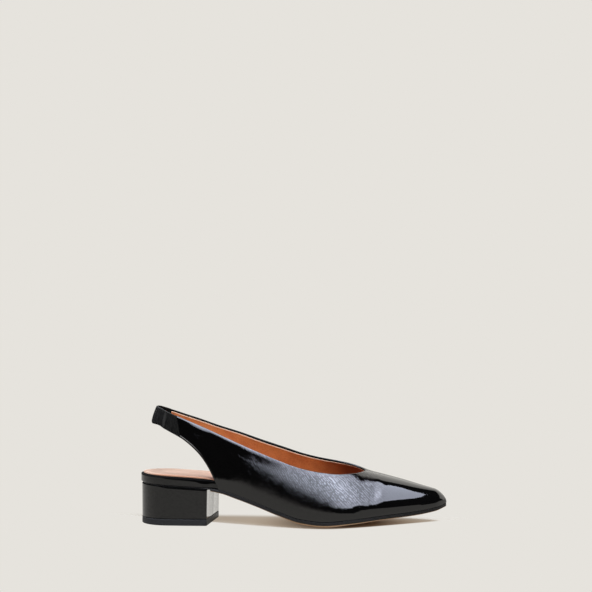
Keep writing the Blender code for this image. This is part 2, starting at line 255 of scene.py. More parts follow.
def smooth_curve(at, values):
    """Smooth curve through the points that never swings past them: a monotone cubic."""
    step = np.diff(at)
    slope = np.diff(values) / step
    tangent = np.zeros(len(at))
    tangent[0] = slope[0]
    tangent[-1] = slope[-1]
    for i in range(1, len(at) - 1):
        if slope[i - 1] * slope[i] > 0:
            before = 2 * step[i] + step[i - 1]
            after = step[i] + 2 * step[i - 1]
            tangent[i] = (before + after) / (before / slope[i - 1] + after / slope[i])

    def curve(x):
        i = np.clip(np.searchsorted(at, x) - 1, 0, len(step) - 1)
        t = np.clip((x - at[i]) / step[i], 0.0, 1.0)
        rest = 1.0 - t
        return (
            values[i] * (1 + 2 * t) * rest**2
            + values[i + 1] * (3 - 2 * t) * t**2
            + step[i] * t * rest * (tangent[i] * rest - tangent[i + 1] * t)
        )

    return curve


def columns(table):
    """The table's columns as smooth functions of a station in millimetres."""
    names, rows = table[0], np.array(table[1:], float)
    stations = rows[:, 0] * LENGTH / 100
    return {name: smooth_curve(stations, rows[:, i]) for i, name in enumerate(names) if i}


def records(table):
    """The table's rows as dictionaries."""
    return [dict(zip(table[0], row)) for row in table[1:]]


outline = columns(OUTLINE)
profile = columns(PROFILE)
sections = columns(SECTIONS)
topline = columns(TOPLINE)
rear_cut = columns(REAR_CUT)["height"]
edge_lean = columns(EDGE_LEAN)


# The last


def reach(x, side):
    """Distance of the bottom's edge from the heel's centre line, before the ends are rounded."""
    return outline[side](x) * BALL_WIDTH / 100


def rounding(share):
    return np.sqrt(np.maximum(0.0, 1 - share**2))


def ramp(x, start, end):
    """0 before start, 1 after end."""
    return np.clip((x - start) / (end - start), 0.0, 1.0)


def soft_ramp(x, start, end):
    share = ramp(x, start, end)
    return share * share * (3 - 2 * share)


def near_back(x):
    return np.maximum(0.0, 1 - x / HEEL_ROUND)


def near_tip(x):
    return np.maximum(0.0, 1 - (LENGTH - x) / TOE_ROUND)


def rim(x, inset, short=0.0):
    """Station, lateral edge and medial edge of the bottom, moved inwards by inset."""
    back, front = near_back(x), near_tip(x)
    lateral, medial = reach(x, "lateral"), reach(x, "medial")
    middle = (medial - lateral) / 2
    half = ((medial + lateral) / 2 - inset) * rounding(back) * rounding(front)
    at = x + inset * (back - front) - short * ramp(x, THROAT, LENGTH)
    return at, middle - half, middle + half


def edge_height(x):
    arch = profile["arch"](x) / 100 * (SEAT_HEIGHT - BALL_EDGE)
    return BALL_EDGE + arch + profile["spring"](x) / 100 * TOE_SPRING


def bed(x, y):
    """Height of the last's underside: level with the edge at the sides, flat and lower in the middle."""
    lateral, medial = reach(x, "lateral"), reach(x, "medial")
    across = np.abs(2 * y + lateral - medial) / (lateral + medial)
    lift = np.maximum(0.0, (across - FLAT_SHARE) / (1 - FLAT_SHARE)) ** 2
    return edge_height(x) - profile["dip"](x) * (1 - np.minimum(lift, 1.0))


def sole_over(x, y):
    return bed(x, y) - GAP


def sole_under(x, y):
    """Underside of the sole, thin over the heel and flattened by the floor below the ball."""
    thickness = np.where(x > BREAST + GAP, profile["sole"](x), SEAT_SOLE)
    return np.maximum(0.0, sole_over(x, y) - thickness)


def insole_over(x, y):
    return bed(x, y) + profile["board"](x)


def inside_upper(x):
    """0 at the heel seat, 1 where the upper stands outside the insole."""
    return ramp(x, UPPER_START, BREAST)


# The upper's wall, as a function of the station and of the angle from its ridge


def ridge_rise(x):
    return sections["ridge"](x) / 100 * THROAT_HEIGHT - edge_height(x)


def ankle_turn(x, z):
    """How far the wall has turned round the back of the ankle: 0 along the side, 1 at the back."""
    low_z, high_z = rear_cut(BACK_LOW), topline["lateral"](BACK_HIGH)
    back = BACK_LOW + (BACK_HIGH - BACK_LOW) * (z - low_z) / (high_z - low_z)
    return np.clip((ANKLE_ROUND - x) / (ANKLE_ROUND - back), 0.0, 1.0)


def wall(x, angle):
    """Points of the upper's outside: the lateral feather line is at -90 degrees, the ridge at 0."""
    outer = angle < 0
    ridge_y = sections["ridge_y"](x)
    rise = np.cos(angle) ** (2 / RISE_POWER)
    arc = np.abs(np.sin(angle)) ** (2 / SPREAD_POWER)
    foot = np.where(outer, reach(x, "lateral") + ridge_y, reach(x, "medial") - ridge_y)
    swell = np.where(outer, sections["swell_lateral"](x), sections["swell_medial"](x))
    narrow = rounding(near_tip(x))
    z = edge_height(x) + ridge_rise(x) * narrow * rise
    spread = foot * arc + swell * np.sin(math.pi * np.sqrt(rise))
    out = spread * narrow * rounding(ankle_turn(x, z))
    return np.stack([x, ridge_y + np.where(outer, -out, out), z], axis=-1)


def angle_of(x, z, side):
    rise = np.clip((z - edge_height(x)) / ridge_rise(x), 0.0, 1.0)
    return SIDES[side] * np.arccos(rise ** (RISE_POWER / 2))


def wall_normal(x, angle):
    """Outward direction of the wall, from small steps along and across it."""
    along_step, across_step, margin = 1e-3, 1e-4, 0.01
    x = np.clip(x, 0.0, LENGTH - 2 * along_step)
    angle = np.clip(angle, -math.pi / 2 + margin, math.pi / 2 - margin)
    along = wall(x + along_step, angle) - wall(x - along_step, angle)
    across = wall(x, angle + across_step) - wall(x, angle - across_step)
    normal = np.cross(along, across)
    return normal / np.maximum(np.linalg.norm(normal, axis=-1, keepdims=True), 1e-12)


# Meshes


SAME_POINT = 2e-3  # points that are nearer than this are one
NO_LENGTH = 1e-3  # edges that are shorter than this are none
SHARP_ANGLE = 50  # degrees


def grid_faces(rows):
    """Quads of a grid whose points are counted row by row."""
    count, width = rows
    start = np.arange(count - 1)[:, None] * width + np.arange(width - 1)[None, :]
    quads = np.stack([start, start + 1, start + width + 1, start + width], axis=-1)
    return quads.reshape(-1, 4)


def band_faces(one, other):
    """Quads between two rows of point numbers."""
    return np.stack([one[:-1], one[1:], other[1:], other[:-1]], axis=-1)


def ring_faces(rings, width):
    """Quads between closed rings of the same width."""
    start = np.arange(rings - 1)[:, None] * width
    here = np.arange(width)[None, :]
    after = (here + 1) % width
    quads = np.stack([start + here, start + after, start + width + after, start + width + here], axis=-1)
    return quads.reshape(-1, 4)


def in_frame(points):
    """Points counted from the heel's back in millimetres, at their place in the frame in metres."""
    return (np.asarray(points, float).reshape(-1, 3) + (HEEL_BACK_X, HEEL_MIDDLE_Y, 0.0)) * MM


def linked(name, data):
    """New object in the scene."""
    made = bpy.data.objects.new(name, data)
    bpy.context.scene.collection.objects.link(made)
    return made


def piece(name, points, faces, materials, node, cut=None, face_material=None):
    """Object from points in millimetres, which stands for a node of the frame and rides on the shoe. cut
    holds the coordinates that its material is laid out in."""
    data = bpy.data.meshes.new(name)
    data.from_pydata(in_frame(points).tolist(), [], [tuple(int(i) for i in face) for face in faces])
    for material in materials:
        data.materials.append(material)
    if face_material is not None:
        data.polygons.foreach_set("material_index", np.asarray(face_material, np.int32))
    if cut is not None:
        layer = data.attributes.new("cut", "FLOAT_VECTOR", "POINT")
        layer.data.foreach_set("vector", np.ravel(cut).astype(float))
    mesh = bmesh.new()
    mesh.from_mesh(data)
    bmesh.ops.remove_doubles(mesh, verts=mesh.verts, dist=SAME_POINT * MM)
    bmesh.ops.dissolve_degenerate(mesh, edges=mesh.edges, dist=NO_LENGTH * MM)
    bmesh.ops.recalc_face_normals(mesh, faces=mesh.faces)
    mesh.to_mesh(data)
    mesh.free()
    data.shade_smooth()
    data.set_sharp_from_angle(angle=math.radians(SHARP_ANGLE))
    made = linked(name, data)
    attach(made, "root")
    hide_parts(node)


# The upper


# Rows of the upper's grids, by their distance from the opening and from the low edge, and their lines
BEAD_ROWS = (FOLD, FOLD + 0.15, FOLD + 0.3, FOLD + 0.5, FOLD + 0.7, FOLD + 0.8)
TOP_ROWS = (0.0, 0.1, 0.25, 0.45, 0.7, 1.0, 1.3, *BEAD_ROWS, 2.8, 3.3, EDGE_ZONE)
LOW_ROWS = (0.0, 0.1, 0.25, 0.45, 0.7, 1.0, 1.3, REAR_FOLD, 2.1, 2.8)
MAIN_ROWS = 34
LOW_COUNT = len(LOW_ROWS) + MAIN_ROWS
NEAR_SHARE = 0.4  # share of a line that the rows near its low end take up at most
STRAP_LINES = 44
STRAP_POWER = 1.5
QUARTER_LINES = 96
CROWDING = 0.6  # how far the quarter's lines crowd towards the throat
VAMP_LINES = 50
TIP_LINES = 16
EDGE_POINTS = 2000
WAY_POINTS = 160
FAR = 99.0  # stands for any distance out of an edge's reach


def opening_edge(side):
    """Stations and angles along the edge of the opening, from the strap's end to the throat."""
    share = np.linspace(0, 1, EDGE_POINTS)
    x = THROAT - (THROAT - STRAP_END[side]["high"]) * (1 - share) ** 2
    return np.stack([x, angle_of(x, topline[side](x), side)], axis=-1)


def edge_search(edge):
    """Function that gives the distance to the edge, and the nearest place on it."""
    points = wall(edge[:, 0], edge[:, 1])
    tree = kdtree.KDTree(len(points))
    for i, point in enumerate(points):
        tree.insert(point, i)
    tree.balance()

    def nearest(place):
        _, i, distance = tree.find(wall(place[0], place[1]))
        return distance, edge[i]

    return nearest


def strap_line(share, side):
    """Ends of a line across the strap, from its end at share 0 to where its cut edge meets the sole."""
    end = STRAP_END[side]
    low_x = end["low"] + (CUT_END - end["low"]) * share
    # The lines stand upright before they reach the sole
    high_x = low_x + (end["high"] - end["low"]) * (1 - share) ** STRAP_POWER
    low = (low_x, angle_of(low_x, rear_cut(low_x), side))
    return np.array(low), np.array((high_x, angle_of(high_x, topline[side](high_x), side)))


def quarter_line(x, side):
    top = angle_of(x, topline[side](x), side) if x < THROAT else 0.0
    return np.array((x, SIDES[side] * math.pi / 2)), np.array((x, top))


def narrowed(inside, outside, is_inside, rounds):
    """Ends of a range that is halved again and again round the place where is_inside stops being true."""
    for _ in range(rounds):
        middle = (inside + outside) / 2
        if is_inside(middle):
            inside = middle
        else:
            outside = middle
    return inside, outside


def stop_short(low, high, nearest):
    """The place on the line from low to high that is an edge zone away from the opening."""
    if nearest(high)[0] >= EDGE_ZONE:
        return high
    share, _ = narrowed(0.0, 1.0, lambda at: nearest(low + (high - low) * at)[0] > EDGE_ZONE, 30)
    return low + (high - low) * share


def front_station(nearest):
    """Station ahead of the throat where the ridge is an edge zone away from the opening."""
    return narrowed(THROAT, THROAT + 3 * EDGE_ZONE, lambda x: nearest((x, 0.0))[0] < EDGE_ZONE, 40)[1]


def spaced(low, high, slants):
    """Rows from low to high: close to the low end as LOW_ROWS says, then evenly by their real distance.
    slants is how much longer the way along the line is than the distance from the low edge."""
    share = np.linspace(0, 1, WAY_POINTS)
    places = low + (high - low) * share[:, None]
    steps = np.linalg.norm(np.diff(wall(places[:, 0], places[:, 1]), axis=0), axis=1)
    way = np.concatenate([[0.0], np.cumsum(steps)])
    near = np.array(LOW_ROWS) * slants
    near *= min(1.0, NEAR_SHARE * way[-1] / near[-1])
    rest = near[-1] + (way[-1] - near[-1]) * np.linspace(0, 1, MAIN_ROWS + 1)[1:]
    at = np.interp(np.concatenate([near, rest]), way, share)
    return low + (high - low) * at[:, None]


def slants_of(lows, highs):
    """For each line, how much further it is along the line than straight across from the low edge."""
    points = wall(lows[:, 0], lows[:, 1])
    tangent = np.gradient(points, axis=0)
    tangent /= np.linalg.norm(tangent, axis=1, keepdims=True)
    step_in = 0.05
    inner = lows + (highs - lows) * step_in
    line = wall(inner[:, 0], inner[:, 1]) - points
    line /= np.linalg.norm(line, axis=1, keepdims=True)
    straight = np.sqrt(np.maximum(1e-4, 1 - np.sum(line * tangent, axis=1) ** 2))
    return 1 / straight


def side_places(side, front, nearest):
    """Grid of stations and angles over one side, from the strap's end to just ahead of the throat, with
    the distance of each from the opening, and from the rear cut."""
    lines = [strap_line(share, side) for share in np.linspace(0, 1, STRAP_LINES + 1)[:-1]]
    share = np.linspace(0, 1, QUARTER_LINES)
    crowded = front - (front - CUT_END) * (1 - share) ** 2
    even = CUT_END + (front - CUT_END) * share
    lines += [quarter_line(x, side) for x in CROWDING * crowded + (1 - CROWDING) * even]
    lows = np.array([low for low, _ in lines])
    highs = np.array([stop_short(low, high, nearest) for low, high in lines])
    highs[-1] = (front, 0.0)
    slants = np.ones(len(lines))
    slants[:STRAP_LINES] = slants_of(lows[: STRAP_LINES + 1], highs[: STRAP_LINES + 1])[:-1]
    edges = np.array([nearest(high)[1] for high in highs])
    edges[-1] = (THROAT, 0.0)
    edges[0] = lines[0][1]
    top = np.array(TOP_ROWS)[::-1][1:]
    places, opening, cut = [], [], []
    for i, (low, high, edge) in enumerate(zip(lows, highs, edges)):
        rows = spaced(low, high, slants[i])
        strip = edge + (high - edge) * (top / EDGE_ZONE)[:, None]
        places.append(np.concatenate([rows, strip]))
        opening.append(np.concatenate([[nearest(place)[0] for place in rows], top]))
        off_cut = np.full(len(rows) + len(top), FAR)
        if i < STRAP_LINES:
            off_cut[: len(LOW_ROWS)] = LOW_ROWS
        cut.append(off_cut)
    return np.array(places), np.array(opening), np.array(cut)


def vamp_places(front):
    """Grid of stations and angles over the vamp, from one feather line over the ridge to the other."""
    turns = np.linspace(0, math.pi / 2, TIP_LINES + 1)
    tip = LENGTH - TOE_ROUND * (1 - np.sin(turns))
    along = np.concatenate([np.linspace(front, LENGTH - TOE_ROUND, VAMP_LINES + 1)[:-1], tip])
    rows = []
    for x in along:
        halves = []
        for side in SIDES:
            low, high = quarter_line(x, side)
            high[1] = 0.0
            halves.append(spaced(low, high, 1.0) if x < LENGTH else np.tile((x, 0.0), (LOW_COUNT, 1)))
        rows.append(np.concatenate([halves[0], halves[1][-2::-1]]))
    return np.array(rows)


def crease_lift(points):
    """Height of the vamp's creases over the plain wall."""
    lift = np.zeros(points.shape[:-1])
    for crease in records(CREASES):
        start = np.array((crease["low_x"], crease["low_z"]))
        along = np.array((crease["high_x"], crease["high_z"])) - start
        from_start = points[..., (0, 2)] - start
        share = from_start @ along / (along @ along)
        nearest = np.clip(share, *CREASE_ENDS)[..., None] * along
        away = np.linalg.norm(from_start - nearest, axis=-1)
        lift += crease["height"] * np.exp(-((away / crease["width"]) ** 2))
    return np.where(points[..., 1] < sections["ridge_y"](points[..., 0]), lift, 0.0)


def rolled(distance, radius):
    """How deep a rounded edge lies under its face."""
    inwards = np.clip(radius - distance, 0.0, radius)
    return radius - np.sqrt(radius**2 - inwards**2)


def flare(opening, x):
    """How far the wall leaves its plain form near the opening."""
    near = 1 - np.clip(opening / edge_lean["width"](x), 0.0, 1.0)
    corner = 1 - np.clip(opening / BEVEL_WIDTH, 0.0, 1.0)
    bevel = edge_lean["bevel"](x) * corner**2 * ramp(opening, 0.0, BEVEL_LIP)
    return edge_lean["out"](x) * near**2 - bevel


def bead(opening):
    """How far the lining's edge stands proud of the lining below it."""
    return BEAD * rounding(np.clip(2 * (opening - FOLD) / BEAD_WIDTH - 1, -1.0, 1.0))


def outside_depth(opening, cut, x):
    return np.maximum(rolled(opening, ROLL_OUT), rolled(cut, ROLL_OUT)) - flare(opening, x)


def inside_depth(opening, cut):
    edge = np.maximum(rolled(opening, WALL - ROLL_OUT), rolled(cut, WALL - ROLL_OUT))
    covered = ramp(opening, FOLD, FOLD + LINING_STEP) * ramp(cut, REAR_FOLD, REAR_FOLD + LINING_STEP)
    return WALL - edge - LINING * covered


def skin_points(places, depth):
    """Points at a depth below the wall's outside. The inside is offset level, so that it can't cross
    itself where the wall turns under at the feather line."""
    points = wall(places[..., 0], places[..., 1])
    normal = wall_normal(places[..., 0], places[..., 1])
    tip = places[..., 0] >= LENGTH - 1e-6
    normal[tip] = (1.0, 0.0, 0.0)
    level = normal.copy()
    level[..., 2] = np.maximum(level[..., 2], 0.0)
    level /= np.maximum(np.linalg.norm(level, axis=-1, keepdims=True), 1e-9)
    return points + normal * crease_lift(points)[..., None] - level * depth[..., None]


def cut_length(places, cut):
    """Coordinates over the skin in millimetres: along the shoe, up the wall from the feather line, and
    from the rear cut, as far as its edge reaches."""
    points = wall(places[..., 0], places[..., 1])
    steps = np.linalg.norm(np.diff(points, axis=1), axis=-1)
    up = np.concatenate([np.zeros((len(points), 1)), np.cumsum(steps, axis=1)], axis=1)
    return np.stack([places[..., 0], up, np.minimum(cut, LOW_ROWS[-1])], axis=-1)


class Skin:
    """Closed sheet made of grids that share their edges: an outer face, an inner face and the rim."""

    def __init__(self):
        self.points, self.faces, self.cuts, self.kinds = [], [], [], []
        self.count = 0

    def add(self, outer, inner, cut, rims):
        """Adds one grid. rims names the edges of it that are closed: low, high, start or end."""
        shape = outer.shape[:2]
        size = shape[0] * shape[1]
        quads = grid_faces(shape)
        self.points += [outer.reshape(-1, 3), inner.reshape(-1, 3)]
        self.cuts += [cut.reshape(-1, 3)] * 2
        self.faces += [quads + self.count, quads[:, ::-1] + self.count + size]
        self.kinds += [0] * len(quads) + [1] * len(quads)
        numbers = self.count + np.arange(size).reshape(shape)
        edges = {"low": numbers[:, 0], "high": numbers[:, -1], "start": numbers[0], "end": numbers[-1]}
        for name in rims:
            band = band_faces(edges[name], edges[name] + size)
            self.faces.append(band)
            self.kinds += [0] * len(band)
        self.count += 2 * size

    def make(self, name, materials, node, slot):
        """The piece. Its inner face has the second material, where there is one."""
        points, faces, cuts = (np.concatenate(parts) for parts in (self.points, self.faces, self.cuts))
        piece(name, points, faces, materials, node, cuts, np.minimum(self.kinds, len(materials) - 1))


def make_upper(patent, fold, lining):
    edges = {side: opening_edge(side) for side in SIDES}
    nearest = edge_search(np.concatenate([edges["lateral"], edges["medial"][::-1]]))
    front = front_station(nearest)
    shell, liner = Skin(), Skin()

    def add(places, opening, cut, rims, lined, lined_rims):
        """Adds a grid to the shell, and the part of it that is lined to the lining."""
        along = cut_length(places, cut)
        outer = skin_points(places, outside_depth(opening, cut, places[..., 0]))
        shell.add(outer, skin_points(places, inside_depth(opening, cut)), along, rims)
        places, along, opening = places[lined], along[lined].copy(), opening[lined]
        # The lining's third coordinate is its distance from the opening, which places the painted
        # highlight along its edge
        along[..., 2] = opening
        outer = skin_points(places, np.full_like(opening, LINING_OUTSIDE))
        liner.add(outer, skin_points(places, LINING_INSIDE + bead(opening)), along, lined_rims)

    first_row = LOW_ROWS.index(REAR_FOLD)
    last_row = LOW_COUNT + len(TOP_ROWS) - 1 - TOP_ROWS.index(FOLD)
    rims = ("low", "high", "start")
    for side in SIDES:
        add(*side_places(side, front, nearest), rims, np.s_[:, first_row:last_row], rims)
    places = vamp_places(front)
    far = np.full(places.shape[:2], FAR)
    lined = np.s_[:-1, first_row : places.shape[1] - first_row]
    add(places, far, far, ("low", "high"), lined, ("low", "high", "end"))
    shell.make("upper_patent", [patent, fold], "upper", "patent")
    liner.make("upper_lining", [lining], "upper", "sock_leather")


# Layers of the bottom


# Rounding of each layer's lower and upper edge, either of which takes up at most a share of its height
EDGE_ROUNDS = {"sole": (0.5, 0.3), "insole": (0.8, 0.3), "sock": (0.2, 0.5)}
ROUND_SHARE = 0.45
LEAST_HEIGHT = 0.05
INSOLE_EASE = 1.6
EASE_SLOPE = 0.08
LAYER_STEPS = 150
ACROSS = 40  # steps across a layer's upper and lower face
SIDE_STEPS = 5
BARE_EDGE = {"medial": 1, "lateral": 5}  # faces of the sole's lower roundings that are bare leather
DULL_FROM = 8  # faces of the insole's sides below the part that turns in


def rounded_side(height, low_round, high_round, ease):
    """Insets and heights of a side whose lower and upper corner are rounded, from below. ease is how much
    of its height, below the upper corner, leans in a little."""
    turn = np.linspace(0, math.pi / 2, SIDE_STEPS + 1)
    low_round = np.minimum(low_round, ROUND_SHARE * height)
    high_round = np.minimum(high_round, ROUND_SHARE * height)
    low = [(low_round * (1 - math.sin(t)), low_round * (1 - math.cos(t))) for t in turn]
    high = [(high_round * (1 - math.cos(t)), height - high_round * (1 - math.sin(t))) for t in turn]
    if not ease:
        return low + high
    way = np.linspace(0, 1, SIDE_STEPS)
    eased = [(EASE_SLOPE * ease * s**2 / 2, height - high_round - ease * (1 - s)) for s in way]
    return low + eased[:-1] + [(eased[-1][0] + deep, up) for deep, up in high]


def level_line(x, y, height):
    """Points of a line across the shoe at the height that a surface has there."""
    x = np.full_like(y, x)
    return np.stack([x, y, height(x, y)], -1)


def layer_rings(places, under, over, inset, rounds, short=0.0, ease=0.0):
    """Closed rings round the layer at each station: along its underside, up one side and back on top."""
    rings = []
    share = np.linspace(0, 1, ACROSS + 1)[1:-1]
    for x in places:
        at, lateral, medial = rim(x, inset(x), short)
        height = max(float(over(at, medial) - under(at, medial)), LEAST_HEIGHT)
        side = rounded_side(height, *rounds, ease)
        edges = np.array([rim(x, inset(x) + deep, short) for deep, _ in side])
        up = np.array([up for _, up in side])
        lateral_side = np.stack([edges[:, 0], edges[:, 1], under(at, lateral) + up], -1)
        medial_side = np.stack([edges[:, 0], edges[:, 2], under(at, medial) + up], -1)
        low_x, low_lateral, low_medial = edges[0]
        high_x, high_lateral, high_medial = edges[-1]
        bottom = level_line(low_x, low_lateral + (low_medial - low_lateral) * share, under)
        top = level_line(high_x, high_medial + (high_lateral - high_medial) * share, over)
        rings.append(np.concatenate([bottom, medial_side, top, lateral_side[::-1]]))
    return np.array(rings)


def end_spaced(start, end, steps):
    """Stations that crowd towards both ends, so that round ends stay round."""
    turns = np.linspace(0, math.pi, steps + 1)
    return start + (end - start) * (1 - np.cos(turns)) / 2


layer_places = end_spaced(0, LENGTH, LAYER_STEPS)


def make_sole(edge, underside):
    def inset(x):
        return SOLE_INSET if x > BREAST + GAP else SEAT_INSET

    # Two stations close together make the step in front of the heel
    step = (BREAST + GAP, BREAST + 1.5 * GAP)
    places = np.sort(np.append(layer_places, step))
    rings = layer_rings(places, sole_under, sole_over, inset, EDGE_ROUNDS["sole"])
    count, width = rings.shape[:2]
    # The underside shows the sole's own leather ahead of the heel
    column = np.tile(np.arange(width), count - 1)
    bare = (column < ACROSS - 1 + BARE_EDGE["medial"]) | (column >= width - BARE_EDGE["lateral"])
    bare &= np.repeat(places[:-1] > BREAST, width)
    materials = [edge, underside]
    faces = ring_faces(count, width)
    piece("sole", rings, faces, materials, "outsole", face_material=bare.astype(int))


def make_insole(patent, dull):
    def inset(x):
        return INSOLE_INSET * inside_upper(x)

    rounds = EDGE_ROUNDS["insole"]
    rings = layer_rings(layer_places, bed, insole_over, inset, rounds, INSOLE_SHORT, INSOLE_EASE)
    count, width = rings.shape[:2]
    # The wrapping is dull where it turns in under the sock: the upper corners and what is between them
    column = np.tile(np.arange(width), count - 1)
    up_side = np.minimum(column - (ACROSS - 1), width - 2 - column)
    turned_in = (up_side >= DULL_FROM).astype(int)
    faces, cut = ring_faces(count, width), rings[..., (0, 2, 1)]
    piece("insole_rand", rings, faces, [patent, dull], "insole", cut, turned_in)


def make_sock(leather):
    def inset(x):
        front = inside_upper(x)
        return INSOLE_INSET * front + SOCK_INSET + (SOCK_FRONT_INSET - SOCK_INSET) * front

    def under(x, y):
        return insole_over(x, y) + GAP

    def over(x, y):
        return under(x, y) + SOCK

    rings = layer_rings(layer_places, under, over, inset, EDGE_ROUNDS["sock"], SOCK_SHORT)
    piece("sock_lining", rings, ring_faces(*rings.shape[:2]), [leather], "sock", rings)


# The heel


CORNER = 0.6  # rounding of the heel's corners beside the breast
COVER_ROUND = {"low": 0.3, "high": 0.2}
TIP_BEVEL = 0.35
TIP_CORNER = 0.1
TIP_ROWS = (0.15, 0.85, 6)  # lowest and highest share of the top piece's height, and how many
HEEL_POINTS = {"side": 60, "corner": 9, "breast": 65, "height": 16, "rounding": 6}
# Relief of the breast: the cover's seam down its middle, a lip on either side of it, and slight waves
BREAST_FACE = BREAST - 3
SEAM = {"width": 0.35, "depth": 0.30}
LIPS = {"y": 1.1, "width": 0.7, "height": 0.10}
WAVES = {"length": 4.3, "height": 0.06}


def heel_outline(inset):
    """Closed plan of the heel, moved inwards by inset: from the back along the inner side, across the
    breast and back along the outer side."""
    front = BREAST - inset / 2
    turn = np.linspace(0, math.pi / 2, HEEL_POINTS["side"])
    at, lateral, medial = rim((BREAST - CORNER) * (1 - np.cos(turn)), inset)
    at = np.minimum(at, front - CORNER)
    straight = medial[-1] - CORNER
    bend = np.linspace(0, math.pi / 2, HEEL_POINTS["corner"])[1:-1]
    arc_x = front - CORNER + CORNER * np.sin(bend)
    arc_y = straight + CORNER * np.cos(bend)
    breast = np.linspace(straight, -straight, HEEL_POINTS["breast"])
    side = np.stack([at, medial], -1)
    arc = np.stack([arc_x, arc_y], -1)
    face = np.stack([np.full_like(breast, front), breast], -1)
    other_arc = np.stack([arc_x[::-1], -arc_y[::-1]], -1)
    other = np.stack([at[::-1], lateral[::-1]], -1)
    return np.concatenate([side, arc, face, other_arc, other[:-1]])


def breast_relief(plan):
    """The plan with the relief of the breast."""
    y = plan[:, 1]
    seam = -SEAM["depth"] * np.exp(-((y / SEAM["width"]) ** 2))
    lips = LIPS["height"] * np.exp(-(((np.abs(y) - LIPS["y"]) / LIPS["width"]) ** 2))
    waves = WAVES["height"] * np.cos(y / WAVES["length"])
    moved = plan.copy()
    moved[:, 0] += np.where(plan[:, 0] > BREAST_FACE, seam + lips + waves - WAVES["height"], 0.0)
    return moved


def heel_stack(levels, under, over, seam=False):
    """Points and faces of rings up the heel, closed flat at both ends. levels gives each ring's inset, its
    share of the way from under to over, and its offset from there."""
    rings = []
    for inset, share, offset in levels:
        plan = heel_outline(inset)
        if seam:
            plan = breast_relief(plan)
        y = plan[:, 1]
        back = BREAST_LEAN * np.maximum(0.0, plan[:, 0] - HEEL_ROUND) / (BREAST - HEEL_ROUND)
        x = plan[:, 0] - back * (0.5 - y / (2 * y.max()))
        low, high = under(x, y), over(x, y)
        rings.append(np.stack([x, y, low + (high - low) * share + offset], -1))
    width = len(rings[0])
    points = np.concatenate(rings)
    faces = [tuple(face) for face in ring_faces(len(rings), width)]
    return points, faces + [tuple(range(width)), tuple(range(len(points) - width, len(points)))]


def make_heel(patent, dull, rubber):
    def seat(x, y):
        return sole_under(np.minimum(x, BREAST), y) - GAP

    def at_height(height):
        return lambda x, y: np.full_like(x, height)

    turn = np.linspace(0, math.pi / 2, HEEL_POINTS["rounding"])
    low, high = COVER_ROUND["low"], COVER_ROUND["high"]
    levels = [(FLOOR_INSET + low * (1 - math.sin(t)), 0.0, low * (1 - math.cos(t))) for t in turn]
    for s in np.linspace(0, 1, HEEL_POINTS["height"])[1:-1]:
        levels.append((FLOOR_INSET + (HEEL_INSET - FLOOR_INSET) * s, s, low + (-high - low) * s))
    levels += [(HEEL_INSET + high * (1 - math.cos(t)), 1.0, high * (math.sin(t) - 1)) for t in turn]
    points, faces = heel_stack(levels, at_height(TIP_HEIGHT + GAP), seat, seam=True)
    # The cover is dull where it turns in at the top piece and under the sole
    row = np.repeat(np.arange(len(levels) - 1), len(points) // len(levels))
    turned_in = (row < len(turn) - 1) | (row > len(levels) - 1 - len(turn))
    turned_in = np.append(turned_in, (True, True)).astype(int)
    cut = points[:, (0, 2, 1)]
    piece("heel_cover", points, faces, [patent, dull], "heel_block", cut, turned_in)
    bevel = ((TIP_BEVEL, 0.0), (TIP_CORNER, TIP_CORNER), (0.0, TIP_BEVEL))
    levels = [(FLOOR_INSET + deep, 0.0, up) for deep, up in bevel]
    levels += [(FLOOR_INSET, s, 0.0) for s in np.linspace(*TIP_ROWS)]
    levels += [(FLOOR_INSET + deep, 1.0, -down) for deep, down in bevel[::-1]]
    points, faces = heel_stack(levels, at_height(0.0), at_height(TIP_HEIGHT))
    piece("heel_top_piece", points, faces, [rubber], "heel_tip")


# The elastic


def band_station(share, end_x, back_x):
    """Station on the band at a share of the way from the back of the ankle to the strap's end."""
    turn_length = ANKLE_ROUND - back_x
    quarter = turn_length * math.pi / 2
    if end_x < ANKLE_ROUND:
        whole = turn_length * math.acos((ANKLE_ROUND - end_x) / turn_length)
    else:
        whole = quarter + end_x - ANKLE_ROUND
    way = whole * share
    if way > quarter:
        return ANKLE_ROUND + way - quarter
    return ANKLE_ROUND - turn_length * math.cos(way / turn_length)


def gather_lift(x, level):
    """Height of the gathers over the plain band, by station and level. They end at the upper edge."""
    lift = np.zeros_like(x)
    for gather in records(GATHERS):
        away = x - gather["x"] + gather["lean"] * (level - 0.5)
        lift += gather["height"] * np.exp(-((away / gather["width"]) ** 2))
    risen = np.clip(GATHER_START + (1 - GATHER_START) * level, 0.0, 1.0)
    return lift * np.sin(math.pi * risen) ** GATHER_POWER


